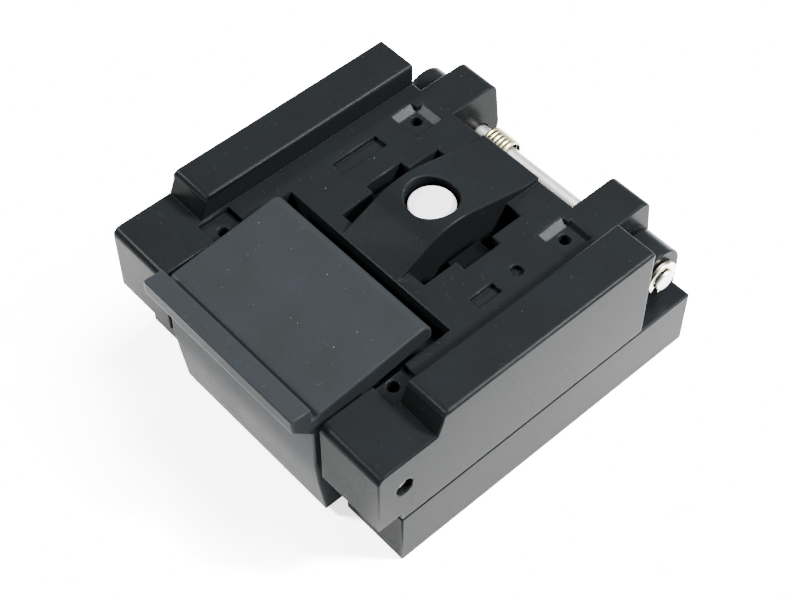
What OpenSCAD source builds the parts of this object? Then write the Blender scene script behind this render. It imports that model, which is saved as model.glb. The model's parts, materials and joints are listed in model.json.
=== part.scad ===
// Clamshell test socket for a small flat chip package: a moulded base with
// sprung contacts, a hinged lid with a floating pressure pad, and a front latch.
// Millimetres. Inside the modules y runs from the base's front face to the rear
// and z from the board up; the assembly is then moved so that the origin lies
// under the middle of the whole part.

/* [Overall] */
// Width of the base and of the lid
socket_w = 32.4; // [30:0.1:40]
// Length of the base, front to rear
base_l = 32.8; // [31:0.2:36]
// Height of the base above the board
base_h = 6.1; // [5.8:0.1:7]
// Gap along the parting line between base and lid
part_gap = 0.12; // [0.08:0.02:0.2]

/* [Hinge] */
// Diameter of the steel hinge pin
pin_d = 2; // [1.6:0.1:2.2]
// Height of the hinge axis above the board
hinge_z = 9.15; // [9:0.05:9.6]
// Radius of the base's hinge ears
ear_r = 2.5; // [2:0.1:2.6]
// Outer faces of the base's ears, from the middle
ear_out = 14.4; // [14.2:0.1:14.8]
// Inner faces of the base's ears, from the middle
ear_in = 11.3; // [11.3:0.1:12.5]
// Outer faces of the lid's ears, from the middle
lid_ear_out = 11; // [10.2:0.1:11]
// Inner faces of the lid's ears, from the middle
lid_ear_in = 7.1; // [6.6:0.1:7.6]
// Radius of the lid ears' upper rear edge
lid_ear_round = 1; // [0.5:0.1:1.5]
// Forward lean of the lid ears' rear face
lid_ear_lean = 0.45; // [0:0.05:0.6]
// Length of pin that stands out past each base ear
pin_out = 0.9; // [0.8:0.1:1.2]
// Outer diameter of the retaining clips
clip_d = 3.2; // [3:0.1:4.2]
// Thickness of the retaining clips
clip_t = 0.4; // [0.3:0.05:0.5]
// Side play between a clip and the base's ear
clip_gap = 0.12; // [0.03:0.01:0.2]
// Diameter of the groove that a clip sits in
groove_d = 1.3; // [1.2:0.1:1.5]

/* [Lid] */
// Height of the lid's deck above the board
deck_z = 14.15; // [13.9:0.05:14.8]
// Rear face of the lid's side walls
lid_rear = 26.85; // [26:0.05:27]
// Step from the side walls' rear face to the deck's rear edge
deck_step = 0.15; // [0.1:0.05:0.3]
// Thickness of the deck over the pad's cavity
deck_t = 2.85; // [2.6:0.05:3.1]
// Height of the two side rails above the deck
rail_h = 2.25; // [1.5:0.05:3]
// Width of each side rail
rail_w = 4.2; // [3:0.1:4.3]
// Foot of the rails' sloping front end
rail_front = 3.5; // [3:0.1:5]
// Forward lean of the rails' front end
rail_lean = 0.6; // [0.2:0.1:1]
// Radius of the rails' front upper edge
rail_round = 0.7; // [0.3:0.1:1]
// Radius along the rails' long edges
rail_edge = 0.3; // [0.1:0.05:0.5]
// Overhang of the lid's front feet past the base
foot_out = 2.37; // [1.8:0.05:2.6]
// Underside of the feet above the base
foot_rise = 1; // [0.6:0.1:1.5]
// Radius of the feet's front upper edge
foot_round = 0.75; // [0.3:0.05:1]
// Inner faces of the feet, from the middle
foot_in = 9.55; // [9.4:0.05:10]

/* [Arch] */
// Half width of the arch over the pad
arch_half = 3.3; // [2.9:0.1:3.4]
// Height of the arch's crest above the deck
arch_h = 2.25; // [1.6:0.05:2.6]
// Radius of the arch's crest
arch_r = 7.5; // [6:0.1:9]
// Slope angle of the arch's front ramp
arch_front_a = 25.2; // [22:0.1:28]
// Slope angle of the arch's rear ramp
arch_rear_a = 14.8; // [13:0.1:16]
// Height of the flat land at the arch's rear end
arch_land = 0.4; // [0.3:0.05:0.6]
// Distance of the crest in front of the package's centre
crest_off = 0.35; // [0:0.05:0.8]
// Diameter of the round window in the arch
window_d = 4.6; // [4.5:0.05:5]

/* [Deck openings] */
// Outer edge of the slots beside the arch, from the middle
slot_out = 4.95; // [4.85:0.05:5.1]
// Front end of the slots, before the package's centre
slot_front = 5.45; // [5.2:0.05:5.6]
// Rear end of the slots, behind the package's centre
slot_rear = 5.25; // [5:0.05:5.4]
// Outward reach of the notches for the pad's lugs
notch_out = 0.98; // [0.8:0.02:1.1]
// Length of the notches
notch_l = 3.9; // [3.6:0.1:4.2]
// Depth of the notches' ledge below the deck
notch_deep = 2.1; // [1.9:0.05:2.3]
// Depth of the shallow pockets in the deck
pocket_deep = 0.55; // [0.4:0.05:0.8]
// Inner edge of the rear pockets, from the middle
rear_pocket_in = 7.25; // [7:0.05:7.5]
// Width of the rear pockets
rear_pocket_w = 3.25; // [3:0.05:3.5]
// Length of the rear pockets
rear_pocket_l = 3.15; // [2.8:0.05:3.4]
// Wall between the rear pockets and the deck's rear edge
rear_pocket_wall = 1.05; // [0.8:0.05:1.3]
// Width of the ramp inside the rear pockets
pocket_ramp = 0.8; // [0.4:0.05:1]
// Width of the front pockets
front_pocket_w = 3.3; // [3:0.05:3.4]
// Length of the front pockets
front_pocket_l = 3.15; // [2.8:0.05:3.3]
// Front edge of the front pockets
front_pocket_y = 3; // [2.8:0.05:3.4]
// Diameter of the small holes in the pockets
vent_d = 1; // [0.7:0.05:1.2]
// Depth of the bare recesses in the deck
mark_deep = 0.45; // [0.15:0.05:0.5]

/* [Latch] */
// Half width of the latch
latch_half = 9; // [8.8:0.05:9.1]
// Height of the latch's pivot above the board
pivot_z = 10.75; // [10.6:0.05:10.9]
// Distance of the latch's pivot behind the base's front face
pivot_y = 0.25; // [0.1:0.05:0.4]
// Diameter of the latch's pivot pin
latch_pin_d = 1.5; // [1.2:0.1:1.6]
// Height of the plate's front edge above the pivot
plate_front_h = 3.85; // [3.7:0.05:4]
// Height of the plate's rear edge above the pivot
plate_rear_h = 4.9; // [4.7:0.05:5]
// Rear end of the plate behind the pivot
plate_rear = 9.35; // [8.8:0.05:9.5]
// Thickness of the plate at its rear end
plate_t = 1.75; // [1.5:0.05:1.85]
// Radius of the plate's rear edge
plate_round = 1; // [0.5:0.05:1.2]
// Front face of the latch before the pivot
latch_front = 2.75; // [2.6:0.05:2.9]
// Reach of the lip before the latch's front face
lip_out = 1.9; // [1.5:0.05:2.2]
// Height of the lip's front face
lip_face = 1.5; // [1.2:0.05:1.8]
// Height of the lip above the plate's front edge
lip_rise = 1.35; // [1:0.05:1.5]
// Clearance under the latch's lower end
latch_lift = 0.8; // [0.6:0.05:1.1]
// Bite of the latch's nose behind the base's catch
nose_bite = 0.4; // [0.2:0.05:0.5]
// Clearance between the latch and the base's catch
catch_gap = 0.1; // [0.08:0.02:0.2]

/* [Package] */
// Centre of the package behind the base's front face
pkg_y = 17.95; // [17.6:0.05:18.1]
// Side of the square package that the nest takes
pkg_w = 8; // [7.6:0.1:8.2]
// Contacts in each of the four rows
row_n = 8; // [4:1:8]
// Spacing of the contacts
pitch = 0.8; // [0.6:0.05:0.8]

/* [Pad] */
// Side of the pressure pad's plate
pad_w = 13; // [12.8:0.1:13.2]
// Thickness of the pad's plate
pad_t = 1.8; // [1.5:0.1:2]
// Height of the pad's pressing foot below the lid
pad_reach = 1.3; // [1:0.05:1.35]
// Diameter of the pale plunger
plunger_d = 4.07; // [3.8:0.01:4.1]
// Depth of the plunger's face below the arch's crest
plunger_deep = 1; // [0.8:0.05:1.3]
// Travel of the pad in the lid
pad_travel = 0.6; // [0.4:0.05:0.6]
// Depth of the pad's lugs below the deck
lug_deep = 1.45; // [0.7:0.05:1.6]

/* [Nest] */
// Side of the floating nest
nest_w = 15; // [14.8:0.1:15.2]
// Thickness of the nest
nest_t = 2.3; // [2.1:0.05:2.4]
// Travel of the nest
nest_travel = 0.5; // [0.3:0.05:0.5]

/* [Board fixing] */
// Sideways spacing of the threaded inserts
insert_dx = 25.8; // [25:0.1:26.4]
// Lengthwise spacing of the threaded inserts
insert_dy = 25.4; // [25:0.1:25.8]
// Outer diameter of the threaded inserts
insert_d = 3; // [2.6:0.1:3.2]
// Thread core diameter of the inserts
insert_hole_d = 1.6; // [1.4:0.1:1.8]
// Length of the inserts
insert_l = 4; // [3.5:0.1:4.2]

/* [Hidden] */
$fn = 64;

// Small shared clearances
slip = 0.1;
seat = 0.03;
run_fit = 0.05;
eps = 0.02;

side = socket_w / 2;
hinge_y = base_l - ear_r;
lid_z = base_h + part_gap;
deck_rear = lid_rear + deck_step;
rail_top = deck_z + rail_h;
crest_z = deck_z + arch_h;
crest_y = pkg_y - crest_off;
roof_z = deck_z - deck_t;

// Latch stations
lip_y = pivot_y - latch_front - lip_out;
lip_top = pivot_z + plate_front_h + lip_rise;
latch_low = latch_lift;
leg_rear = pivot_y + 0.25;
barrel_r = latch_pin_d / 2 + 1.15;
nose_top = base_h - 2.7;
nose_low = latch_low + 0.6;
shelf_z = pivot_z + 1.25;
bay_rear = pivot_y + plate_rear + 1.4;
latch_wall = leg_rear + barrel_r + 0.15;
y_mid = (base_l + lip_y) / 2;

// Base interior
cavity_half = nest_w / 2 + slip;
block_half_x = 9.4;
block_half_y = 8.4;
block_low = 0.5;
block_top = 3.4;
nest_low = base_h - 0.2 - nest_t;
nest_top = nest_low + nest_t;
tip_z = nest_low + 0.6;
row_r = pkg_w / 2 - 0.8;
hole_half = pkg_w / 2 + slip;

// Springs: wire, outer radius
wire = 0.3;
coil_r = 0.85;
lid_wire = 0.5;
lid_coil_r = pin_d / 2 + lid_wire + 0.15;
lid_coils = 6;
lid_coil_pitch = lid_wire * 0.94;
lid_coil_x = -6;
clip_x = ear_out + clip_gap;
nest_spring_x = nest_w / 2 - 1.35;
nest_spring_y = 3;
nest_screw_xy = nest_w / 2 - 1.5;
nest_seat = 1.2;
nest_seat_up = 0.9;
pad_spring_x = pad_w / 2 - 0.6;
pad_spring_y = slot_front - 0.6;
pad_seat = 0.8;
latch_spring_x = 5;
latch_spring_y = pivot_y + plate_rear - 2.2;
latch_seat_z = pivot_z + 3.3;
shelf_seat = 1.5;

// Pad stations
cavity_x = pad_w / 2 + 0.4;
pad_low = lid_z + 0.2;
pad_top = pad_low + pad_t;
pad_foot = lid_z - pad_reach;
foot_half = pkg_w / 2 - 0.4;
lug_z = deck_z - notch_deep + seat;
lug_top = deck_z - lug_deep;
plunger_top = crest_z - plunger_deep;

module place() {
    translate([0, -y_mid, 0]) children();
}

// Box between two corners
module block(a, b) {
    translate(a) cube([b[0] - a[0], b[1] - a[1], b[2] - a[2]]);
}

// Side profile drawn in y and z, extruded between two stations across the part
module across(x0, x1) {
    translate([x0, 0, 0])
        rotate([90, 0, 90])
            linear_extrude(height = x1 - x0) children();
}

// Cylinder along x between two stations
module rod(x0, x1, r, y, z) {
    translate([x0, y, z]) rotate([0, 90, 0]) cylinder(h = x1 - x0, r = r);
}

// Points of an arc about a centre, from one angle to another
function arc(c, r, a0, a1, n = 8) =
    [for (i = [0:n]) c + r * [cos(a0 + (a1 - a0) * i / n), sin(a0 + (a1 - a0) * i / n)]];

module both_sides() {
    children();
    mirror([1, 0, 0]) children();
}

// Four copies about the package's centre
module four(dx, dy) {
    for (sx = [-1, 1], sy = [-1, 1])
        translate([sx * dx, pkg_y + sy * dy, 0]) children();
}

// Close-wound sleeve with the coils' outline, standing on its lower end
module coil_sleeve(h, r, w) {
    n = max(3, round((h - w) / (w * 1.6)));
    step = (h - w) / n;
    rotate_extrude() {
        for (i = [0:n]) translate([r - w / 2, w / 2 + i * step]) circle(d = w, $fn = 24);
        translate([r - w * 0.65, w / 2]) square([w * 0.3, h - w]);
    }
}

// Countersunk flat-topped screw, head up, head's top at z = 0
module small_screw(head_r, head_h, shank_r, l) {
    difference() {
        union() {
            translate([0, 0, -head_h]) cylinder(h = head_h, r = head_r);
            translate([0, 0, -l]) cylinder(h = l - head_h + eps, r = shank_r);
        }
        translate([-head_r, -0.18, -head_h / 2]) cube([2 * head_r, 0.36, head_h]);
    }
}

// Base

module base_ear() {
    across(ear_in, ear_out)
        polygon(concat([[base_l, base_h - 1], [base_l, hinge_z]],
                       arc([hinge_y, hinge_z], ear_r, 0, 180, 24),
                       [[hinge_y - ear_r, base_h - 1]]));
}

module latch_recess() {
    across(-foot_in, foot_in)
        polygon([[-1, -1], [leg_rear + nose_bite + catch_gap, -1], [leg_rear + nose_bite + catch_gap, nose_low],
                 [leg_rear + catch_gap, nose_top], [leg_rear + catch_gap, base_h + 1], [-1, base_h + 1]]);
}

module base_housing() {
    color("dimgray") place() difference() {
        union() {
            block([-side, 0, 0], [side, base_l, base_h]);
            both_sides() base_ear();
        }
        latch_recess();
        block([-cavity_half, pkg_y - cavity_half, -1], [cavity_half, pkg_y + cavity_half, base_h + 1]);
        block([-block_half_x - slip, pkg_y - block_half_y - slip, -1],
              [block_half_x + slip, pkg_y + block_half_y + slip, block_top - 0.9]);
        rod(-ear_out - 1, ear_out + 1, pin_d / 2 + seat, hinge_y, hinge_z);
        insert_places() translate([0, 0, -1]) cylinder(h = insert_l + 1.2, d = insert_d + 2 * seat);
        four(block_half_x - 1, block_half_y - 1)
            cylinder(h = block_top + 1, r = 0.5 + seat);
        translate([lid_coil_x + (lid_coils - 1) * lid_coil_pitch + lid_wire / 2, hinge_y - lid_coil_r + lid_wire / 2,
                   base_h - 1.6])
            cylinder(h = 2, r = lid_wire / 2 + seat);
        both_sides() block([13.2, 9, -1], [side - 1.3, 24, base_h - 1.6]);
    }
}

module insert_places() {
    for (sx = [-1, 1], sy = [0, 1])
        translate([sx * insert_dx / 2, base_l - ear_r - 1.2 - sy * insert_dy, 0]) children();
}

module base_inserts() {
    color("goldenrod") place() insert_places() difference() {
        translate([0, 0, 0.1]) cylinder(h = insert_l, d = insert_d);
        translate([0, 0, -1]) cylinder(h = insert_l + 2, d = insert_hole_d);
    }
}

module contact_places() {
    for (q = [0:3])
        translate([0, pkg_y, 0]) rotate([0, 0, q * 90])
            for (i = [0:row_n - 1]) translate([(i - (row_n - 1) / 2) * pitch, -row_r, 0]) children();
}

module contact_block() {
    color("saddlebrown") place() difference() {
        union() {
            block([-block_half_x, pkg_y - block_half_y, block_low], [block_half_x, pkg_y + block_half_y, block_top - 1]);
            block([-cavity_half + slip, pkg_y - cavity_half + slip, block_low],
                  [cavity_half - slip, pkg_y + cavity_half - slip, block_top - 0.4]);
        }
        contact_places() translate([0, 0, -1]) cylinder(h = block_top + 2, r = 0.22 + seat, $fn = 24);
        four(nest_spring_x, nest_spring_y)
            translate([0, 0, block_top - nest_seat]) cylinder(h = nest_seat + 1, r = coil_r + slip);
        four(block_half_x - 1, block_half_y - 1) {
            translate([0, 0, -1]) cylinder(h = block_top + 2, r = 0.5 + seat);
            translate([0, 0, -1]) cylinder(h = block_low + 1.6, r = 0.95 + seat);
        }
        nest_screw_places() translate([0, 0, block_low + 0.6]) cylinder(h = block_top, r = 0.4 + seat);
    }
}

module block_screws() {
    color("silver") place() four(block_half_x - 1, block_half_y - 1)
        translate([0, 0, block_low + 0.6 - 0.6]) mirror([0, 0, 1]) small_screw(0.95, 0.6, 0.5, block_top - 0.2);
}

module contact() {
    rotate_extrude($fn = 24)
        polygon([[0, 0.05], [0.1, 0.15], [0.1, block_low + 0.2], [0.22, block_low + 0.3], [0.22, block_top - 0.5],
                 [0.13, block_top - 0.4], [0.13, tip_z - 0.12], [0, tip_z]]);
}

module contact_row(q) {
    color("gold") place() translate([0, pkg_y, 0]) rotate([0, 0, q * 90])
        for (i = [0:row_n - 1]) translate([(i - (row_n - 1) / 2) * pitch, -row_r, 0]) contact();
}

module contacts_front() {
    contact_row(0);
}

module contacts_right() {
    contact_row(1);
}

module contacts_rear() {
    contact_row(2);
}

module contacts_left() {
    contact_row(3);
}

module nest_screw_places() {
    for (s = [-1, 1]) translate([s * nest_screw_xy, pkg_y + s * nest_screw_xy, 0]) children();
}

module nest() {
    entry = 0.5;
    color("black") place() difference() {
        block([-nest_w / 2, pkg_y - nest_w / 2, nest_low], [nest_w / 2, pkg_y + nest_w / 2, nest_top]);
        block([-hole_half, pkg_y - hole_half, nest_low - 1], [hole_half, pkg_y + hole_half, nest_top + 1]);
        for (q = [0:3])
            translate([0, pkg_y, nest_top]) rotate([0, 0, q * 90])
                across(-hole_half - entry, hole_half + entry)
                    polygon([[-hole_half - entry, 0.01], [-hole_half + eps, 0.01], [-hole_half + eps, -1.2]]);
        four(nest_spring_x, nest_spring_y)
            translate([0, 0, nest_low - 1]) cylinder(h = 1 + nest_seat_up, r = coil_r + slip);
        nest_screw_places() {
            translate([0, 0, nest_low - 1]) cylinder(h = nest_t + 2, r = 0.5 + seat);
            translate([0, 0, nest_top - 0.6]) cylinder(h = 2, r = 1.1 + slip);
        }
    }
}

module nest_screws() {
    color("silver") place() nest_screw_places()
        translate([0, 0, nest_top - 0.1]) small_screw(1.1, 0.5, 0.4, nest_top - block_low - 0.8);
}

module nest_springs() {
    low = block_top - nest_seat;
    color("gainsboro") place() four(nest_spring_x, nest_spring_y)
        translate([0, 0, low]) coil_sleeve(nest_low + nest_seat_up - low - seat, coil_r, wire);
}

// Hinge

module hinge_pin() {
    end = ear_out + pin_out;
    color("lightgray") place() difference() {
        rod(-end, end, pin_d / 2, hinge_y, hinge_z);
        both_sides() difference() {
            rod(clip_x - seat, clip_x + clip_t + seat, pin_d, hinge_y, hinge_z);
            rod(ear_out - 1, ear_out + 2, groove_d / 2, hinge_y, hinge_z);
        }
    }
}

// Retaining ring with three teeth, its mouth turned down and to the front
module clip() {
    translate([0, hinge_y, hinge_z]) rotate([-125, 0, 0]) translate([0, -hinge_y, -hinge_z])
        across(clip_x, clip_x + clip_t)
            translate([hinge_y, hinge_z]) difference() {
                circle(d = clip_d);
                circle(d = groove_d + 2 * eps);
                translate([0, -groove_d * 0.42]) square([clip_d, groove_d * 0.84]);
                for (a = [-1, 1]) rotate(a * 118) translate([groove_d / 2 + 0.12, 0]) circle(d = 0.8, $fn = 32);
                for (a = [-1, 1]) rotate(a * 62) translate([groove_d / 2 + 0.12, 0]) circle(d = 0.8, $fn = 32);
            }
}

module hinge_clip_right() {
    color("white") place() clip();
}

module hinge_clip_left() {
    color("white") place() mirror([1, 0, 0]) clip();
}

// Torsion spring on the pin: one leg in the base's hole, one under the lid
module lid_spring() {
    coil_end = lid_coil_x + (lid_coils - 1) * lid_coil_pitch + lid_wire / 2;
    mean_r = lid_coil_r - lid_wire / 2;
    color("lightyellow") place() union() {
        translate([lid_coil_x, hinge_y, hinge_z]) rotate([0, 90, 0]) rotate_extrude()
            for (i = [0:lid_coils - 1])
                translate([mean_r, lid_wire / 2 + i * lid_coil_pitch]) circle(d = lid_wire, $fn = 32);
        translate([coil_end, hinge_y - mean_r, base_h - 1.5])
            cylinder(h = hinge_z - base_h + 1.5, d = lid_wire);
        translate([lid_coil_x + lid_wire / 2, hinge_y, hinge_z - mean_r]) rotate([90, 0, 0])
            cylinder(h = hinge_y - lid_rear + 1.6, d = lid_wire);
    }
}

// Lid

module rail() {
    foot = rail_front + rail_lean;
    across(side - rail_w, side)
        polygon(concat([[rail_front, deck_z - 1], [rail_front, deck_z]],
                       arc([foot + rail_round, rail_top - rail_round], rail_round, 180, 90),
                       [[lid_rear, rail_top], [lid_rear, deck_z - 1]]));
}

// Cross-section of a rail with its long edges rounded, drawn in x and z
module rail_section() {
    translate([0, lid_rear + 1, 0]) rotate([90, 0, 0])
        linear_extrude(height = lid_rear + 2)
            polygon(concat([[side - rail_w, deck_z - 2], [side, deck_z - 2]],
                           arc([side - rail_edge, rail_top - rail_edge], rail_edge, 0, 90),
                           arc([side - rail_w + rail_edge, rail_top - rail_edge], rail_edge, 90, 180)));
}

module foot() {
    across(foot_in, side)
        polygon(concat([[0.5, base_h + foot_rise], [0.5, deck_z]],
                       arc([foot_round - foot_out, deck_z - foot_round], foot_round, 90, 180),
                       [[-foot_out, base_h + foot_rise]]));
}

module lid_ear() {
    across(lid_ear_in, lid_ear_out)
        polygon(concat([[lid_rear - 1, hinge_z - ear_r], [lid_rear - 1, deck_z]],
                       arc([base_l - lid_ear_lean - lid_ear_round, deck_z - lid_ear_round], lid_ear_round, 90, 0),
                       arc([hinge_y, hinge_z], ear_r, 0, -90, 12)));
}

module arch() {
    c = [crest_y, crest_z - arch_r];
    front = c + arch_r * [-sin(arch_front_a), cos(arch_front_a)];
    rear = c + arch_r * [sin(arch_rear_a), cos(arch_rear_a)];
    front_run = (front[1] - deck_z) / tan(arch_front_a);
    rear_run = (rear[1] - deck_z - arch_land) / tan(arch_rear_a);
    across(-arch_half, arch_half)
        polygon(concat([[deck_rear, deck_z - 1], [front[0] - front_run, deck_z - 1],
                        [front[0] - front_run, deck_z]],
                       arc(c, arch_r, 90 + arch_front_a, 90 - arch_rear_a, 16),
                       [[rear[0] + rear_run, deck_z + arch_land], [deck_rear, deck_z + arch_land]]));
}

// Open bay at the front for the latch: the leg's slot and the space under its plate
module latch_bay() {
    block([-foot_in, -foot_out - 1, lid_z - 1], [foot_in, latch_wall, rail_top]);
    block([-foot_in, 0, shelf_z], [foot_in, bay_rear, rail_top]);
}

module deck_slots() {
    both_sides() {
        block([arch_half, pkg_y - slot_front, roof_z - 1], [slot_out, pkg_y + slot_rear, rail_top]);
        block([arch_half, pkg_y - notch_l / 2, deck_z - notch_deep],
              [slot_out + notch_out, pkg_y + notch_l / 2, rail_top]);
    }
}

module rear_pocket(x0, rear_ramp) {
    y1 = deck_rear - rear_pocket_wall;
    y0 = y1 - rear_pocket_l;
    floor_z = deck_z - pocket_deep;
    block([x0 + pocket_ramp, y0, floor_z], [x0 + rear_pocket_w, y1 - rear_ramp, deck_z + 1]);
    translate([0, y1 - rear_ramp, 0]) rotate([90, 0, 0]) linear_extrude(height = rear_pocket_l - rear_ramp)
        polygon([[x0, deck_z], [x0, deck_z + 0.5], [x0 + pocket_ramp + eps, deck_z + 0.5],
                 [x0 + pocket_ramp + eps, floor_z], [x0 + pocket_ramp, floor_z]]);
    if (rear_ramp > 0)
        across(x0 + pocket_ramp, x0 + rear_pocket_w)
            polygon([[y1, deck_z], [y1, deck_z + 0.5], [y1 - rear_ramp - eps, deck_z + 0.5],
                     [y1 - rear_ramp - eps, floor_z], [y1 - rear_ramp, floor_z]]);
    translate([x0 + rear_pocket_w / 2, y1 - rear_pocket_l / 2, roof_z - 1]) cylinder(h = deck_t + 1, d = vent_d);
}

module front_pocket() {
    x1 = foot_in + 2.25;
    block([x1 - front_pocket_w, front_pocket_y, deck_z - pocket_deep],
          [x1, front_pocket_y + front_pocket_l, deck_z + 1]);
    translate([x1 - 1.5, front_pocket_y + 1.4, roof_z - 1]) cylinder(h = deck_t + 1, d = vent_d);
}

// Hollows moulded into the lid from below, which leave even walls
module lid_hollows() {
    block([-cavity_x, pkg_y - cavity_x, lid_z - 1], [cavity_x, pkg_y + cavity_x, pad_top + pad_travel + 0.2]);
    block([-cavity_x, bay_rear + 0.9, lid_z - 1], [cavity_x, pkg_y + cavity_x, roof_z]);
    both_sides() block([cavity_x + 1.3, latch_wall + 1.4, lid_z - 1], [side - 1.8, lid_rear - 1.6, roof_z]);
    four(pad_spring_x, pad_spring_y)
        translate([0, 0, roof_z - 1]) cylinder(h = 1 + pad_seat, r = coil_r + slip);
    for (s = [-1, 1])
        translate([s * latch_spring_x, latch_spring_y, shelf_z - shelf_seat])
            cylinder(h = shelf_seat + 1, r = coil_r + slip);
    // Notch over the hinge spring's forward leg
    block([lid_coil_x - 0.3, lid_rear - 2, lid_z - 1],
          [lid_coil_x + lid_wire + 0.3, deck_rear + 1, hinge_z - lid_coil_r + lid_wire + 0.15]);
}

module deck_marks() {
    block([-9.65, pkg_y - 2.45, deck_z - mark_deep], [-8.2, pkg_y + 2.4, deck_z + 1]);
    block([8.4, pkg_y - 3.8, deck_z - mark_deep], [9.5, pkg_y - 1.3, deck_z + 1]);
    translate([8.85, pkg_y + 1, deck_z - mark_deep]) cylinder(h = 2, r = 0.52);
}

module lid_frame() {
    color("darkslategray") place() difference() {
        union() {
            block([-side, 0, lid_z], [side, lid_rear, deck_z]);
            block([-lid_ear_out, lid_rear - 1, lid_z], [lid_ear_out, deck_rear, deck_z]);
            both_sides() {
                intersection() {
                    rail();
                    rail_section();
                }
                foot();
                lid_ear();
            }
            arch();
        }
        latch_bay();
        deck_slots();
        lid_hollows();
        deck_marks();
        rear_pocket(-rear_pocket_in - rear_pocket_w, pocket_ramp);
        rear_pocket(rear_pocket_in, pocket_ramp / 2);
        both_sides() front_pocket();
        translate([0, pkg_y, roof_z - 1]) cylinder(h = deck_t + arch_h + 2, d = window_d);
        rod(-side - 1, side + 1, latch_pin_d / 2 + run_fit, pivot_y, pivot_z);
        rod(-lid_ear_out - 1, lid_ear_out + 1, pin_d / 2 + run_fit, hinge_y, hinge_z);
    }
}

module pressure_pad() {
    arm_x = slot_out - 0.3;
    arm_in = arch_half + 0.35;
    lug_x = slot_out + notch_out - 0.2;
    color("gray") place() difference() {
        union() {
            block([-pad_w / 2, pkg_y - pad_w / 2, pad_low], [pad_w / 2, pkg_y + pad_w / 2, pad_top]);
            block([-foot_half, pkg_y - foot_half, pad_foot], [foot_half, pkg_y + foot_half, pad_low + eps]);
            both_sides() {
                block([arm_in, pkg_y - notch_l / 2 + 0.15, pad_top - eps],
                      [arm_x, pkg_y + notch_l / 2 - 0.15, lug_top]);
                block([arm_in, pkg_y - notch_l / 2 + 0.15, lug_z],
                      [lug_x, pkg_y + notch_l / 2 - 0.15, lug_top]);
            }
        }
        translate([0, pkg_y, pad_low - 0.6]) cylinder(h = pad_t + 2, d = plunger_d + 2 * run_fit);
        four(pad_spring_x, pad_spring_y)
            translate([0, 0, pad_top - pad_seat]) cylinder(h = pad_seat + 1, r = coil_r + slip);
    }
}

module pad_plunger() {
    color("gainsboro") place() translate([0, pkg_y, 0]) rotate_extrude()
        polygon([[0, pad_low - 0.6], [plunger_d / 2, pad_low - 0.6], [plunger_d / 2, plunger_top - 0.08],
                 [plunger_d / 2 - 0.08, plunger_top], [0, plunger_top]]);
}

module pad_springs() {
    low = pad_top - pad_seat;
    color("gainsboro") place() four(pad_spring_x, pad_spring_y)
        translate([0, 0, low]) coil_sleeve(roof_z + pad_seat - low, coil_r, wire);
}

// Latch

module latch() {
    front_z = pivot_z + plate_front_h;
    rear_z = pivot_z + plate_rear_h;
    face_y = pivot_y - latch_front;
    end_y = pivot_y + plate_rear;
    low_face = face_y + 0.77;
    mid_face = face_y + 0.27;
    color("dimgray") place() difference() {
        union() {
            across(-latch_half, latch_half)
                polygon(concat([[low_face, latch_low], [mid_face, latch_low + 4.2], [face_y, latch_low + 7.2],
                                [face_y, front_z - lip_face - 0.6], [lip_y, lip_top - lip_face], [lip_y, lip_top],
                                [face_y, lip_top - 0.14], [face_y, front_z - 0.3], [face_y + 0.4, front_z - 0.3],
                                [face_y + 0.8, front_z]],
                               arc([end_y - plate_round, rear_z - plate_round], plate_round, 96, 0),
                               [[end_y, rear_z - plate_t], [latch_wall - 0.4, pivot_z + 2.1],
                                [leg_rear + 1, pivot_z - 1.6], [leg_rear, pivot_z - 2.6], [leg_rear, nose_top],
                                [leg_rear + nose_bite, nose_low], [leg_rear + nose_bite, latch_low]]));
            rod(-latch_half, latch_half, barrel_r, pivot_y, pivot_z);
        }
        rod(-latch_half - 1, latch_half + 1, latch_pin_d / 2 + run_fit, pivot_y, pivot_z);
        for (s = [-1, 1])
            translate([s * latch_spring_x, latch_spring_y, pivot_z])
                cylinder(h = latch_seat_z - pivot_z, r = coil_r + slip);
    }
}

module latch_pin() {
    color("lightgray") place() rod(-side + 0.5, side - 0.5, latch_pin_d / 2, pivot_y, pivot_z);
}

module latch_springs() {
    low = shelf_z - shelf_seat;
    color("gainsboro") place() for (s = [-1, 1])
        translate([s * latch_spring_x, latch_spring_y, low]) coil_sleeve(latch_seat_z - low, coil_r, wire);
}

base_housing();
contact_block();
block_screws();
contacts_front();
contacts_rear();
contacts_left();
contacts_right();
base_inserts();
nest();
nest_screws();
nest_springs();
hinge_pin();
hinge_clip_left();
hinge_clip_right();
lid_spring();
lid_frame();
pressure_pad();
pad_plunger();
pad_springs();
latch();
latch_pin();
latch_springs();
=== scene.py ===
"""Looks of the clamshell test socket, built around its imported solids. Metres."""
import json
import math
import bpy
import bmesh
from mathutils import Matrix, Vector


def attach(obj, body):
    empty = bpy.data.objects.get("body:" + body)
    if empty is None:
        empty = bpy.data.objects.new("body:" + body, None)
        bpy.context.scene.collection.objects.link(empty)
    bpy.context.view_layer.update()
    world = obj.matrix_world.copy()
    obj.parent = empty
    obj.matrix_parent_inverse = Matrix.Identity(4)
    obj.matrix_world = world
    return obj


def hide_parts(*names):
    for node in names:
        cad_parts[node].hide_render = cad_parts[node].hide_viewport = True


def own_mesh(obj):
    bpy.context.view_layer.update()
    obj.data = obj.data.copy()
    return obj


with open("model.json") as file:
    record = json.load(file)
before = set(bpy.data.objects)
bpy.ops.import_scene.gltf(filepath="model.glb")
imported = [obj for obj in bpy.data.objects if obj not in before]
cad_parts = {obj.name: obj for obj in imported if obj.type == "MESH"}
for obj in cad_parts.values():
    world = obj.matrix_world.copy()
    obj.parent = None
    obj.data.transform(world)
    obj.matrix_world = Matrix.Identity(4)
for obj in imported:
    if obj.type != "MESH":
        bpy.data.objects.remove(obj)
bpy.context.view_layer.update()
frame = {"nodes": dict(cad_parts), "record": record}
MM = 0.001

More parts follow.
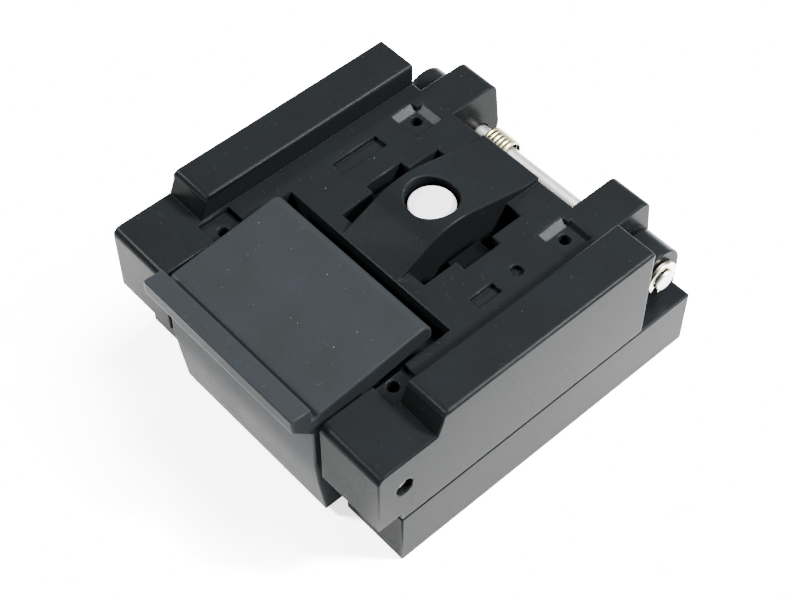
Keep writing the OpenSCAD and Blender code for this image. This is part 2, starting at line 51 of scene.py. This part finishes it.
# Camera of the photograph
VIEW_AZIMUTH = math.radians(47.83)
VIEW_ELEVATION = math.radians(52.20)
VIEW_TARGET = Vector((0, 0.2, 6.4)) * MM
VIEW_DISTANCE = 144.2 * MM
LENS = 77.0

# Studio: a glowing white floor, a dim sky, and lights as name, direction, size in metres and watts
FLOOR_ALBEDO = 0.90
FLOOR_GLOW = 2.0
SKY = 0.85
LIGHT_DISTANCE = 0.40
LIGHTS = (
    ("key", (0.12, 0.37, 0.92), (0.20, 0.20), 18.5),
    ("rear_right", (0.52, 0.48, 0.70), (0.06, 0.06), 25.0),
    ("front_left", (-0.51, -0.49, 0.70), (0.06, 0.06), 11.0),
)

# Black plastic: dark and hardly reflective because the studio is very bright. Edge and gap are the reach
# of its worn outward edges and of the painted shade in its inner corners, and the tints are those of its slow
# blotches
BLACK = (0.0013, 0.0015, 0.0017)
PLASTIC_SHINE = 0.0060
PLASTIC_GRAIN = 9000.0
PLASTIC_BUMP = 0.2
PLASTIC_EDGE = 0.18 * MM
PLASTIC_GAP = 0.6 * MM
ROUGHNESS_DRIFT = 0.16
SCRATCH_COLOUR = (0.008, 0.0084, 0.009, 1)
DUST_COLOUR = (0.035, 0.035, 0.034, 1)
SHADE_COLOUR = (0.0001, 0.0001, 0.0001, 1)
GREENISH = (0.92, 0.88, 0.70)
BLUISH = (1.12, 1.14, 1.22)

# Metals
METAL_EDGE = 0.06 * MM
METAL_GAP = 0.4 * MM
# Olive brown painted shade for the gaps of metal parts and between close spring turns
GAP_SHADE_COLOUR = (0.010, 0.008, 0.003, 1)

# Rounded copies of CAD nodes
MERGE_DISTANCE = 0.002 * MM
FLAT_ANGLE = math.radians(0.5)
SHARP_ANGLE = math.radians(28)
WEDGE_ANGLE = math.radians(32)
WEDGE_SHARE = 0.2
ROUNDING_SEGMENTS = 2

# Springs: wires, the hinge spring's turns, the small springs' pitch and end margin, and how much slimmer the
# latch springs are
LID_WIRE = 0.37 * MM
LID_TURNS = 5.75
LID_STEPS = 40
SMALL_WIRE = 0.3 * MM
SMALL_PITCH = SMALL_WIRE * 1.9
SMALL_MARGIN = SMALL_WIRE * 0.53
LATCH_SLIMMER = 0.3 * MM


# Shader helpers

def new_group(name, inputs, outputs):
    """A shader group whose inputs are numbers, as (name, default), and whose outputs are (name, kind)."""
    tree = bpy.data.node_groups.new(name, "ShaderNodeTree")
    kinds = {"value": "NodeSocketFloat", "vector": "NodeSocketVector"}
    for label, default in inputs:
        socket = tree.interface.new_socket(label, in_out="INPUT", socket_type="NodeSocketFloat")
        socket.default_value = default
    for label, kind in outputs:
        tree.interface.new_socket(label, in_out="OUTPUT", socket_type=kinds[kind])
    return tree, tree.nodes.new("NodeGroupInput"), tree.nodes.new("NodeGroupOutput")


def node(tree, kind, inputs=None, **settings):
    """Adds a node, sets its plain settings, then its inputs: a socket is linked, a value is set."""
    made = tree.nodes.new(kind)
    for key, value in settings.items():
        setattr(made, key, value)
    for key, value in (inputs or {}).items():
        if isinstance(value, bpy.types.NodeSocket):
            tree.links.new(value, made.inputs[key])
        else:
            made.inputs[key].default_value = value
    return made


def maths(tree, operation, a, b=0.0, clamp=False):
    return node(tree, "ShaderNodeMath", {0: a, 1: b}, operation=operation, use_clamp=clamp).outputs[0]


def choose(tree, switch, off, on):
    """One of two values, by a switch of 0 or 1."""
    mixed = node(tree, "ShaderNodeMix", {"Factor": switch, "A": off, "B": on}, data_type="FLOAT")
    return mixed.outputs["Result"]


def ramp(tree, value, low, high):
    """Maps low..high to 0..1 along a smooth curve."""
    made = node(tree, "ShaderNodeMapRange", {"Value": value, "From Min": low, "From Max": high})
    made.interpolation_type = "SMOOTHSTEP"
    return made.outputs["Result"]


def socket_named(made, name, kind):
    """The colour sockets of a Mix node share their names with its float ones."""
    return next(s for s in made.inputs if s.name == name and s.type == kind)


def blend_colours(tree, factor, a, b):
    made = tree.nodes.new("ShaderNodeMix")
    made.data_type = "RGBA"
    for name, value in (("A", a), ("B", b)):
        target = socket_named(made, name, "RGBA")
        if isinstance(value, bpy.types.NodeSocket):
            tree.links.new(value, target)
        else:
            target.default_value = value
    factor_socket = made.inputs[0]
    if isinstance(factor, bpy.types.NodeSocket):
        tree.links.new(factor, factor_socket)
    else:
        factor_socket.default_value = factor
    return next(s for s in made.outputs if s.type == "RGBA")


def noise(tree, coordinates, scale, detail, roughness):
    return node(tree, "ShaderNodeTexNoise", {"Vector": coordinates, "Scale": scale, "Detail": detail,
                                             "Roughness": roughness}).outputs["Fac"]


def use(tree, group, **inputs):
    """Places a shader group; an input's spaces are written as underscores."""
    made = tree.nodes.new("ShaderNodeGroup")
    made.node_tree = group
    for label, value in inputs.items():
        made.inputs[label.replace("_", " ")].default_value = value
    return made


def build_face_plane():
    """Flat coordinates in the plane that a face lies nearest to, so marks keep their shape there."""
    tree, _, outside = new_group("face_plane", [], [("Plane", "vector")])
    place = node(tree, "ShaderNodeTexCoord").outputs["Object"]
    world_normal = node(tree, "ShaderNodeNewGeometry").outputs["Normal"]
    normal = node(tree, "ShaderNodeVectorTransform", {"Vector": world_normal}, vector_type="NORMAL",
                  convert_from="WORLD", convert_to="OBJECT").outputs["Vector"]
    x, y, z = (node(tree, "ShaderNodeSeparateXYZ", {"Vector": place}).outputs[axis] for axis in "XYZ")
    facing = node(tree, "ShaderNodeSeparateXYZ", {"Vector": normal})
    mostly = 0.6
    facing_up = maths(tree, "GREATER_THAN", maths(tree, "ABSOLUTE", facing.outputs["Z"]), mostly)
    facing_side = maths(tree, "GREATER_THAN", maths(tree, "ABSOLUTE", facing.outputs["X"]), mostly)
    across = choose(tree, facing_side, x, y)
    along = choose(tree, facing_up, z, y)
    across = choose(tree, facing_up, across, x)
    side_shift = maths(tree, "MULTIPLY", facing_side, 0.031)
    apart = maths(tree, "ADD", side_shift, maths(tree, "MULTIPLY", facing_up, 0.077))
    plane = node(tree, "ShaderNodeCombineXYZ", {"X": maths(tree, "ADD", across, apart), "Y": along})
    tree.links.new(plane.outputs["Vector"], outside.inputs["Plane"])
    return tree


def build_moulded_grain():
    """Fine moulding texture: a height for bump, and a slow blotchy value."""
    tree, inside, outside = new_group("moulded_grain", [("Grain Scale", PLASTIC_GRAIN)],
                                      [("Height", "value"), ("Blotch", "value")])
    place = node(tree, "ShaderNodeTexCoord").outputs["Object"]
    fine = noise(tree, place, inside.outputs["Grain Scale"], 3.0, 0.6)
    slow = noise(tree, place, 260.0, 4.0, 0.6)
    tree.links.new(fine, outside.inputs["Height"])
    tree.links.new(slow, outside.inputs["Blotch"])
    return tree


def build_worn_edges():
    """Mask of outward edges, broken up by noise, and the rounded normal that goes with it."""
    tree, inside, outside = new_group("worn_edges", [("Radius", PLASTIC_EDGE), ("Patchiness", 0.5)],
                                      [("Mask", "value"), ("Normal", "vector")])
    soft = node(tree, "ShaderNodeBevel", {"Radius": inside.outputs["Radius"]}, samples=6).outputs["Normal"]
    true = node(tree, "ShaderNodeNewGeometry").outputs["Normal"]
    agree = node(tree, "ShaderNodeVectorMath", {0: soft, 1: true}, operation="DOT_PRODUCT").outputs["Value"]
    bend = ramp(tree, agree, 0.985, 0.86)
    thickness = node(tree, "ShaderNodeAmbientOcclusion", {"Distance": 0.9 * MM}, samples=6, inside=True)
    outward = ramp(tree, thickness.outputs["AO"], 0.93, 0.55)
    place = node(tree, "ShaderNodeTexCoord").outputs["Object"]
    patches = ramp(tree, noise(tree, place, 420.0, 4.0, 0.65), 0.42, 0.62)
    kept = maths(tree, "SUBTRACT", 1.0, maths(tree, "MULTIPLY", inside.outputs["Patchiness"], patches))
    worn = maths(tree, "MULTIPLY", maths(tree, "MULTIPLY", bend, outward), kept)
    tree.links.new(worn, outside.inputs["Mask"])
    tree.links.new(soft, outside.inputs["Normal"])
    return tree


def build_crevices():
    """Mask of inner corners and narrow gaps, where little light gathers; the materials darken their colour
    there as painted shade.
    """
    tree, inside, outside = new_group("crevices", [("Reach", PLASTIC_GAP)], [("Mask", "value")])
    openness = node(tree, "ShaderNodeAmbientOcclusion", {"Distance": inside.outputs["Reach"]}, samples=6)
    tree.links.new(ramp(tree, openness.outputs["AO"], 0.80, 0.25), outside.inputs["Mask"])
    return tree


def build_scratches():
    """Slightly curved hairlines in several directions, each the middle of a long thin cell, as a mask."""
    tree, inside, outside = new_group("fine_scratches", [("Amount", 0.5), ("Turn", 0.0)],
                                      [("Mask", "value")])

    def combined(operation, first, second):
        made = node(tree, "ShaderNodeVectorMath", {0: first, 1: second}, operation=operation)
        return made.outputs["Vector"]

    flat = use(tree, FACE_PLANE).outputs["Plane"]
    sway = node(tree, "ShaderNodeTexNoise", {"Vector": flat, "Scale": 160.0, "Detail": 1.0}).outputs["Color"]
    reach_of_sway = 1.6 * MM
    plane = combined("ADD", flat, combined("MULTIPLY", sway, (reach_of_sway, reach_of_sway, reach_of_sway)))
    total = None
    families = ((0.5, 700.0, 45.0, 0.020), (1.9, 1100.0, 60.0, 0.026), (2.7, 500.0, 30.0, 0.013),
                (1.2, 900.0, 150.0, 0.022))
    for index, (angle, across, along, reach) in enumerate(families):
        turn = maths(tree, "ADD", inside.outputs["Turn"], angle)
        turned = node(tree, "ShaderNodeVectorRotate", {"Vector": plane, "Angle": turn},
                      rotation_type="Z_AXIS")
        stretched = combined("MULTIPLY", turned.outputs["Vector"], (across, along, 1))
        shifted = combined("ADD", stretched, (index * 7.3, index * 3.1, 0))
        cells = node(tree, "ShaderNodeTexVoronoi", {"Vector": shifted, "Scale": 1.0}, voronoi_dimensions="2D")
        line = ramp(tree, cells.outputs["Distance"], reach, reach * 0.4)
        chance = node(tree, "ShaderNodeSeparateColor", {"Color": cells.outputs["Color"]}).outputs["Green"]
        line = maths(tree, "MULTIPLY", line, ramp(tree, chance, 0.35, 0.9))
        total = line if total is None else maths(tree, "MAXIMUM", total, line)
    tree.links.new(maths(tree, "MULTIPLY", total, inside.outputs["Amount"]), outside.inputs["Mask"])
    return tree


def build_dust():
    """Sparse pale specks of several sizes, thicker on faces that look up."""
    tree, inside, outside = new_group("dust_specks", [("Amount", 0.5)], [("Mask", "value")])
    plane = use(tree, FACE_PLANE).outputs["Plane"]
    total = None
    for scale, reach in ((230.0, 0.016), (520.0, 0.022), (1000.0, 0.030)):
        cells = node(tree, "ShaderNodeTexVoronoi", {"Vector": plane, "Scale": scale},
                     voronoi_dimensions="2D")
        parts = node(tree, "ShaderNodeSeparateColor", {"Color": cells.outputs["Color"]})
        size = maths(tree, "MULTIPLY", parts.outputs["Blue"], reach)
        near = ramp(tree, maths(tree, "SUBTRACT", size, cells.outputs["Distance"]), -0.004, 0.006)
        speck = maths(tree, "MULTIPLY", near, ramp(tree, parts.outputs["Red"], 0.70, 1.0))
        total = speck if total is None else maths(tree, "MAXIMUM", total, speck)
    normal = node(tree, "ShaderNodeNewGeometry").outputs["Normal"]
    up = node(tree, "ShaderNodeSeparateXYZ", {"Vector": normal}).outputs["Z"]
    lying = maths(tree, "ADD", maths(tree, "MULTIPLY", ramp(tree, up, -0.2, 0.8), 0.8), 0.2)
    specks = maths(tree, "MULTIPLY", total, lying)
    tree.links.new(maths(tree, "MULTIPLY", specks, inside.outputs["Amount"]), outside.inputs["Mask"])
    return tree


FACE_PLANE = build_face_plane()
GRAIN = build_moulded_grain()
EDGES = build_worn_edges()
CREVICES = build_crevices()
SCRATCHES = build_scratches()
DUST = build_dust()


def fresh_material(name):
    material = bpy.data.materials.new(name)
    material.use_nodes = True
    tree = material.node_tree
    shader = next(n for n in tree.nodes if n.type == "BSDF_PRINCIPLED")
    return material, tree, shader


def tinted(colour, tint):
    return (*[part * share for part, share in zip(colour, tint)], 1)


def moulded_plastic(name, colour, roughness, wear=0.5, wear_colour=(0.015, 0.016, 0.017), scratches=0.3,
                    dust=0.5, turn=0.0):
    """Black moulded plastic: fine grain, pale worn edges, painted shade in its gaps, light scratches and
    dust.
    """
    material, tree, shader = fresh_material(name)
    grain_node = use(tree, GRAIN, Grain_Scale=PLASTIC_GRAIN)
    edge_node = use(tree, EDGES, Radius=PLASTIC_EDGE, Patchiness=0.75)
    scratched = use(tree, SCRATCHES, Amount=scratches, Turn=turn).outputs["Mask"]
    dusty = use(tree, DUST, Amount=dust).outputs["Mask"]
    gaps = use(tree, CREVICES, Reach=PLASTIC_GAP).outputs["Mask"]
    blotch = grain_node.outputs["Blotch"]
    edge = maths(tree, "MULTIPLY", edge_node.outputs["Mask"], wear)
    body = blend_colours(tree, blotch, tinted(colour, GREENISH), tinted(colour, BLUISH))
    body = blend_colours(tree, edge, body, (*wear_colour, 1))
    body = blend_colours(tree, scratched, body, SCRATCH_COLOUR)
    body = blend_colours(tree, dusty, body, DUST_COLOUR)
    # Painted shade: inner corners and narrow gaps are darkened towards SHADE_COLOUR
    body = blend_colours(tree, maths(tree, "MULTIPLY", gaps, 0.85), body, SHADE_COLOUR)
    tree.links.new(body, shader.inputs["Base Color"])
    shader.inputs["Specular IOR Level"].default_value = PLASTIC_SHINE
    drift = maths(tree, "MULTIPLY", maths(tree, "SUBTRACT", blotch, 0.5), ROUGHNESS_DRIFT)
    rough = maths(tree, "ADD", drift, roughness)
    rough = maths(tree, "SUBTRACT", rough, maths(tree, "MULTIPLY", edge, 0.12))
    rough = maths(tree, "ADD", rough, maths(tree, "MULTIPLY", gaps, 0.5), clamp=True)
    tree.links.new(rough, shader.inputs["Roughness"])
    height = maths(tree, "SUBTRACT", grain_node.outputs["Height"], maths(tree, "MULTIPLY", scratched, 0.6))
    bump = node(tree, "ShaderNodeBump", {"Strength": PLASTIC_BUMP, "Distance": 0.04 * MM, "Height": height,
                                         "Normal": edge_node.outputs["Normal"]})
    tree.links.new(bump.outputs["Normal"], shader.inputs["Normal"])
    return material


def metal(name, colour, roughness, tarnish=(0.25, 0.22, 0.17), tarnish_amount=0.25, grain=5000.0, bump=0.2,
          metallic=1.0, gap_shade=0.3):
    """Bare or plated metal with slow tarnish, painted shade in its gaps, fine drawn texture and soft edges.
    """
    material, tree, shader = fresh_material(name)
    grain_node = use(tree, GRAIN, Grain_Scale=grain)
    edge_node = use(tree, EDGES, Radius=METAL_EDGE, Patchiness=0.2)
    scratched = use(tree, SCRATCHES, Amount=0.5, Turn=0.8).outputs["Mask"]
    gaps = use(tree, CREVICES, Reach=METAL_GAP).outputs["Mask"]
    blotch = grain_node.outputs["Blotch"]
    dull = maths(tree, "MULTIPLY", ramp(tree, blotch, 0.45, 0.75), tarnish_amount)
    body = blend_colours(tree, dull, (*colour, 1), (*tarnish, 1))
    # Painted shade: gaps and the wire under close turns are darkened to olive brown
    body = blend_colours(tree, maths(tree, "MULTIPLY", gaps, gap_shade), body, GAP_SHADE_COLOUR)
    tree.links.new(body, shader.inputs["Base Color"])
    shader.inputs["Metallic"].default_value = metallic
    rough = maths(tree, "ADD", maths(tree, "MULTIPLY", blotch, 0.16), roughness - 0.08)
    rough = maths(tree, "ADD", rough, maths(tree, "MULTIPLY", scratched, 0.15), clamp=True)
    tree.links.new(rough, shader.inputs["Roughness"])
    relief = node(tree, "ShaderNodeBump", {"Strength": bump, "Distance": 0.02 * MM,
                                           "Height": grain_node.outputs["Height"],
                                           "Normal": edge_node.outputs["Normal"]})
    tree.links.new(relief.outputs["Normal"], shader.inputs["Normal"])
    return material


# Finishes, one for each material slot of the record
MATERIALS = {
    "base_plastic": moulded_plastic("base_plastic_look", BLACK, 0.26, wear=0.25, turn=0.3),
    "lid_plastic": moulded_plastic("lid_plastic_look", BLACK, 0.26, wear=0.4, scratches=0.35),
    "latch_plastic": moulded_plastic("latch_plastic_look", (0.0029, 0.0033, 0.0038), 0.31, wear=0.45,
                                     scratches=0.6, dust=0.7, turn=1.1),
    "nest_plastic": moulded_plastic("nest_plastic_look", BLACK, 0.36, wear=0.3, turn=0.7),
    # The pressure pad is coloured darker than the other black plastic as painted shade for the notches it
    # sits in
    "pad_plastic": moulded_plastic("pad_plastic_shaded_look", (0.0004, 0.0005, 0.0006), 0.5, wear=0.3,
                                   turn=2.1),
    "block_plastic": moulded_plastic("block_plastic_look", (0.03, 0.019, 0.010), 0.5, wear=0.3,
                                     wear_colour=(0.12, 0.09, 0.06), turn=0.2),
    "plunger_metal": metal("plunger_look", (0.15, 0.146, 0.150), 0.5, tarnish=(0.16, 0.155, 0.155),
                           metallic=0.3, grain=7000.0, bump=0.48),
    # The pin, the clip and the hinge spring take strong painted shade in their gaps and under the coil
    "pin_steel": metal("pin_look", (0.26, 0.255, 0.245), 0.36, tarnish_amount=0.1, gap_shade=1.0),
    "clip_steel": metal("clip_look", (0.34, 0.33, 0.25), 0.26, tarnish_amount=0.3, gap_shade=0.7),
    "lid_spring_steel": metal("lid_spring_look", (0.16, 0.148, 0.085), 0.30, tarnish=(0.16, 0.14, 0.07),
                              gap_shade=1.0),
    "spring_steel": metal("spring_look", (0.62, 0.61, 0.58), 0.3),
    "screw_steel": metal("screw_look", (0.55, 0.55, 0.54), 0.32),
    "gold": metal("contact_look", (0.86, 0.63, 0.25), 0.25, tarnish=(0.5, 0.33, 0.12)),
    "brass": metal("insert_look", (0.72, 0.55, 0.26), 0.3, tarnish=(0.36, 0.25, 0.1)),
}
SLOT_OF = {entry["node"]: entry["material_slot"] for entry in frame["record"]["subparts"]}
JOINTS = {joint["name"]: joint for joint in frame["record"]["behaviour"]["joints"]}
BODY_OF = {name: body for body, names in frame["record"]["behaviour"]["bodies"].items() for name in names}


# Mesh helpers

def shade(piece, material):
    """Gives a wire piece one material, and smooth shading that breaks at its cut ends."""
    mesh = piece.data
    mesh.materials.clear()
    mesh.materials.append(material)
    bm = bmesh.new()
    bm.from_mesh(mesh)
    limit = math.radians(60)
    for edge in bm.edges:
        edge.smooth = len(edge.link_faces) == 2 and edge.calc_face_angle(0) < limit
    for face in bm.faces:
        face.smooth = True
        face.material_index = 0
    bm.to_mesh(mesh)
    bm.free()


def ends_in_wedge(edge):
    """True beside a face that tapers to a point at the edge's end, where full rounding would fold over."""
    corners = [loop for face in edge.link_faces for loop in face.loops if loop.vert in edge.verts]
    return any(loop.calc_angle() < WEDGE_ANGLE for loop in corners)


def mark_outward_edges(bm):
    """Weights the sharp outward edges for rounding, and leaves inner corners crisp."""
    layers = bm.edges.layers.float
    weight = layers.get("bevel_weight_edge") or layers.new("bevel_weight_edge")
    for edge in bm.edges:
        sharp = len(edge.link_faces) == 2 and edge.calc_face_angle(0) > SHARP_ANGLE
        edge[weight] = 0.0
        if sharp and edge.is_convex:
            edge[weight] = WEDGE_SHARE if ends_in_wedge(edge) else 1.0
        edge.smooth = not sharp
    for face in bm.faces:
        face.smooth = True


def kept_within(mesh, corners):
    """Moves any vertex that rounding pushed past a box back onto it."""
    low = [min(corner[i] for corner in corners) for i in range(3)]
    high = [max(corner[i] for corner in corners) for i in range(3)]
    for vert in mesh.vertices:
        vert.co = [min(max(vert.co[i], low[i]), high[i]) for i in range(3)]


def plain_mesh(holder):
    """A piece's mesh with its modifiers applied."""
    return bpy.data.meshes.new_from_object(holder.evaluated_get(bpy.context.evaluated_depsgraph_get()))


def softened(name, width):
    """A copy of a CAD node with its outward edges rounded, standing for the node."""
    mesh = frame["nodes"][name].data.copy()
    mesh.name = name + "_soft"
    bm = bmesh.new()
    bm.from_mesh(mesh)
    bmesh.ops.remove_doubles(bm, verts=bm.verts, dist=MERGE_DISTANCE)
    bmesh.ops.dissolve_degenerate(bm, dist=MERGE_DISTANCE, edges=bm.edges)
    bmesh.ops.dissolve_limit(bm, angle_limit=FLAT_ANGLE, verts=bm.verts, edges=bm.edges)
    mark_outward_edges(bm)
    bm.to_mesh(mesh)
    bm.free()
    piece = bpy.data.objects.new(name + "_soft", mesh)
    bpy.context.scene.collection.objects.link(piece)
    bevel = piece.modifiers.new("rounding", "BEVEL")
    bevel.width = width
    bevel.segments = ROUNDING_SEGMENTS
    bevel.limit_method = "WEIGHT"
    bevel.use_clamp_overlap = False
    bevel.loop_slide = False
    bevel.miter_outer = "MITER_SHARP"
    facets = piece.modifiers.new("plain triangles", "TRIANGULATE")
    facets.ngon_method = "BEAUTY"
    weigh = piece.modifiers.new("flat faces stay flat", "WEIGHTED_NORMAL")
    weigh.weight = 100
    weigh.keep_sharp = True
    finished = plain_mesh(piece)
    kept_within(finished, frame["nodes"][name].bound_box)
    piece.modifiers.clear()
    piece.data = finished
    finished.materials.clear()
    finished.materials.append(MATERIALS[SLOT_OF[name]])
    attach(piece, BODY_OF[name])
    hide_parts(name)


def dress_nodes(skipped):
    """Gives every CAD node that stays its own material."""
    for name, shown in frame["nodes"].items():
        if name in skipped:
            continue
        material = MATERIALS[SLOT_OF[name]]
        if not shown.data.materials:
            shown.data.materials.append(material)
        for slot in shown.material_slots:
            slot.material = material


# Coil springs by geometry nodes

def coil_tree():
    """A wire helix along +Z with its sizes as inputs."""
    tree = bpy.data.node_groups.new("wire_helix", "GeometryNodeTree")
    for label, kind in (("Turns", "NodeSocketFloat"), ("Radius", "NodeSocketFloat"),
                        ("Height", "NodeSocketFloat"), ("Wire Radius", "NodeSocketFloat"),
                        ("Steps", "NodeSocketInt"), ("Wire Look", "NodeSocketMaterial")):
        tree.interface.new_socket(label, in_out="INPUT", socket_type=kind)
    tree.interface.new_socket("Geometry", in_out="OUTPUT", socket_type="NodeSocketGeometry")
    inside = tree.nodes.new("NodeGroupInput")
    outside = tree.nodes.new("NodeGroupOutput")
    helix = node(tree, "GeometryNodeCurveSpiral", {
        "Resolution": inside.outputs["Steps"], "Rotations": inside.outputs["Turns"],
        "Start Radius": inside.outputs["Radius"], "End Radius": inside.outputs["Radius"],
        "Height": inside.outputs["Height"], "Reverse": False})
    section = node(tree, "GeometryNodeCurvePrimitiveCircle", {"Resolution": 12,
                                                             "Radius": inside.outputs["Wire Radius"]})
    wire = node(tree, "GeometryNodeCurveToMesh", {
        "Curve": helix.outputs["Curve"], "Profile Curve": section.outputs["Curve"], "Fill Caps": True})
    smooth = node(tree, "GeometryNodeSetShadeSmooth", {"Geometry": wire.outputs["Mesh"]})
    real = node(tree, "GeometryNodeRealizeInstances", {"Geometry": smooth.outputs["Geometry"]})
    finish = node(tree, "GeometryNodeSetMaterial", {"Geometry": real.outputs["Geometry"],
                                                    "Material": inside.outputs["Wire Look"]})
    tree.links.new(finish.outputs["Geometry"], outside.inputs["Geometry"])
    return tree


COIL = coil_tree()


def tree_mesh(tree, values):
    """Runs a geometry tree with its named inputs and returns the plain mesh."""
    holder = bpy.data.objects.new("holder", bpy.data.meshes.new("holder"))
    bpy.context.scene.collection.objects.link(holder)
    modifier = holder.modifiers.new("tree", "NODES")
    modifier.node_group = tree
    for item in tree.interface.items_tree:
        if item.in_out == "INPUT" and item.name in values:
            modifier[item.identifier] = values[item.name]
    holder.update_tag()
    made = plain_mesh(holder)
    bpy.data.objects.remove(holder)
    return made


def loose_boxes(name):
    """Corner pairs of a CAD node's separate solids, in order of their lower corners."""
    shown = frame["nodes"][name]
    bm = bmesh.new()
    bm.from_mesh(shown.data)
    bm.transform(shown.matrix_world)
    bmesh.ops.remove_doubles(bm, verts=bm.verts, dist=1e-7)
    left = set(bm.verts)
    boxes = []
    while left:
        wave = [left.pop()]
        met = []
        while wave:
            vert = wave.pop()
            met.append(vert.co.copy())
            for edge in vert.link_edges:
                other = edge.other_vert(vert)
                if other in left:
                    left.remove(other)
                    wave.append(other)
        boxes.append((Vector([min(co[i] for co in met) for i in range(3)]),
                      Vector([max(co[i] for co in met) for i in range(3)])))
    bm.free()
    return sorted(boxes, key=lambda pair: tuple(round(part, 6) for part in pair[0]))


def finish_piece(mesh, name, node_name):
    """A finished mesh as the piece that stands for one CAD node."""
    piece = bpy.data.objects.new(name, mesh)
    bpy.context.scene.collection.objects.link(piece)
    shade(piece, MATERIALS[SLOT_OF[node_name]])
    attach(piece, BODY_OF[node_name])
    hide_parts(node_name)
    return piece


def upright_springs(node_name, slimmer=0.0):
    """Wound springs, all of one height, in place of a node's plain sleeves."""
    joined = bmesh.new()
    for low, high in loose_boxes(node_name):
        middle = (low + high) / 2
        height = high.z - low.z
        coil = tree_mesh(COIL, {
            "Turns": round((height - SMALL_WIRE) / SMALL_PITCH) + 0.5,
            "Radius": (high.x - low.x - SMALL_WIRE) / 2 - slimmer, "Height": height - 2 * SMALL_MARGIN,
            "Wire Radius": SMALL_WIRE / 2, "Steps": 28, "Wire Look": MATERIALS[SLOT_OF[node_name]]})
        coil.transform(Matrix.Translation((middle.x, middle.y, low.z + SMALL_MARGIN)))
        joined.from_mesh(coil)
    mesh = bpy.data.meshes.new(node_name + "_wound")
    joined.to_mesh(mesh)
    joined.free()
    piece = finish_piece(mesh, node_name + "_wound", node_name)
    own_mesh(piece)


def swept_wire(points, wire_radius, name):
    """A round wire along a list of points, as a plain mesh."""
    curve = bpy.data.curves.new(name, "CURVE")
    curve.dimensions = "3D"
    curve.bevel_depth = wire_radius
    curve.bevel_resolution = 4
    curve.use_fill_caps = True
    line = curve.splines.new("POLY")
    line.points.add(len(points) - 1)
    for target, point in zip(line.points, points):
        target.co = (*point, 1)
    holder = bpy.data.objects.new(name, curve)
    bpy.context.scene.collection.objects.link(holder)
    mesh = plain_mesh(holder)
    bpy.data.objects.remove(holder)
    return mesh


def torsion_spring():
    """The hinge spring as one wire: a leg under the lid, close turns on the pin, a leg into the base."""
    low, high = loose_boxes("lid_spring")[0]
    hinge = Vector(JOINTS["lid_hinge"]["pos_m"])
    radius = high.z - hinge.z - LID_WIRE / 2
    start, end = low.x + LID_WIRE / 2, high.x - LID_WIRE / 2
    end_margin = LID_WIRE * 0.1
    points = [Vector((start, low.y + end_margin, hinge.z - radius)),
              Vector((start, hinge.y - LID_WIRE, hinge.z - radius))]
    for step in range(int(LID_TURNS * LID_STEPS) + 1):
        turned = math.tau * (step / LID_STEPS - 0.25)
        along = start + (end - start) * step / (LID_TURNS * LID_STEPS)
        around = radius * math.cos(turned), radius * math.sin(turned)
        points.append(Vector((along, hinge.y + around[0], hinge.z + around[1])))
    points.append(Vector((end, hinge.y - radius, low.z + end_margin)))
    wire = swept_wire(points, LID_WIRE / 2, "lid_spring_wound")
    finish_piece(wire, "lid_spring_wound", "lid_spring")


SOFT_EDGES = {
    "lid_frame": 0.11 * MM, "base_housing": 0.11 * MM, "latch": 0.13 * MM, "nest": 0.08 * MM,
    "pressure_pad": 0.1 * MM, "hinge_pin": 0.12 * MM, "latch_pin": 0.15 * MM, "pad_plunger": 0.03 * MM,
    "hinge_clip_left": 0.05 * MM, "hinge_clip_right": 0.05 * MM,
}
for node_name, node_width in SOFT_EDGES.items():
    softened(node_name, node_width)
torsion_spring()
upright_springs("pad_springs")
upright_springs("nest_springs")
upright_springs("latch_springs", slimmer=LATCH_SLIMMER)
dress_nodes(set(SOFT_EDGES) | {"lid_spring", "pad_springs", "nest_springs", "latch_springs"})


# Stage

def area_light(name, place, aim, size, power):
    light = bpy.data.lights.new(name, "AREA")
    light.shape = "RECTANGLE"
    light.size, light.size_y = size
    light.energy = power
    holder = bpy.data.objects.new(name, light)
    bpy.context.scene.collection.objects.link(holder)
    holder.location = place
    holder.rotation_euler = (Vector(aim) - Vector(place)).to_track_quat("-Z", "Y").to_euler()


def build_stage():
    mesh = bpy.data.meshes.new("floor")
    reach = 3.0
    mesh.from_pydata([(-reach, -reach, 0), (reach, -reach, 0), (reach, reach, 0), (-reach, reach, 0)], [],
                     [(0, 1, 2, 3)])
    floor = bpy.data.objects.new("floor", mesh)
    bpy.context.scene.collection.objects.link(floor)
    material, _, shader = fresh_material("floor_look")
    shader.inputs["Base Color"].default_value = (FLOOR_ALBEDO, FLOOR_ALBEDO, FLOOR_ALBEDO, 1)
    shader.inputs["Roughness"].default_value = 0.9
    shader.inputs["Emission Color"].default_value = (1, 1, 1, 1)
    shader.inputs["Emission Strength"].default_value = FLOOR_GLOW
    mesh.materials.append(material)
    world = bpy.data.worlds.new("studio")
    bpy.context.scene.world = world
    world.use_nodes = True
    sky = world.node_tree.nodes["Background"]
    sky.inputs["Color"].default_value = (0.90, 0.95, 1.0, 1)
    sky.inputs["Strength"].default_value = SKY
    for label, direction, size, power in LIGHTS:
        area_light(label, Vector(direction) * LIGHT_DISTANCE, (0, 0, 5 * MM), size, power)


def build_camera():
    camera = bpy.data.cameras.new("camera")
    camera.lens = LENS
    camera.sensor_width = 36.0
    camera.shift_x = 0.0004
    camera.shift_y = -0.006
    camera.clip_start = 0.005
    holder = bpy.data.objects.new("camera", camera)
    bpy.context.scene.collection.objects.link(holder)
    level = math.cos(VIEW_ELEVATION)
    look = Vector((-math.sin(VIEW_AZIMUTH) * level, math.cos(VIEW_AZIMUTH) * level,
                   -math.sin(VIEW_ELEVATION)))
    holder.location = VIEW_TARGET - look * VIEW_DISTANCE
    holder.rotation_euler = look.to_track_quat("-Z", "Y").to_euler()
    bpy.context.scene.camera = holder


build_stage()
build_camera()
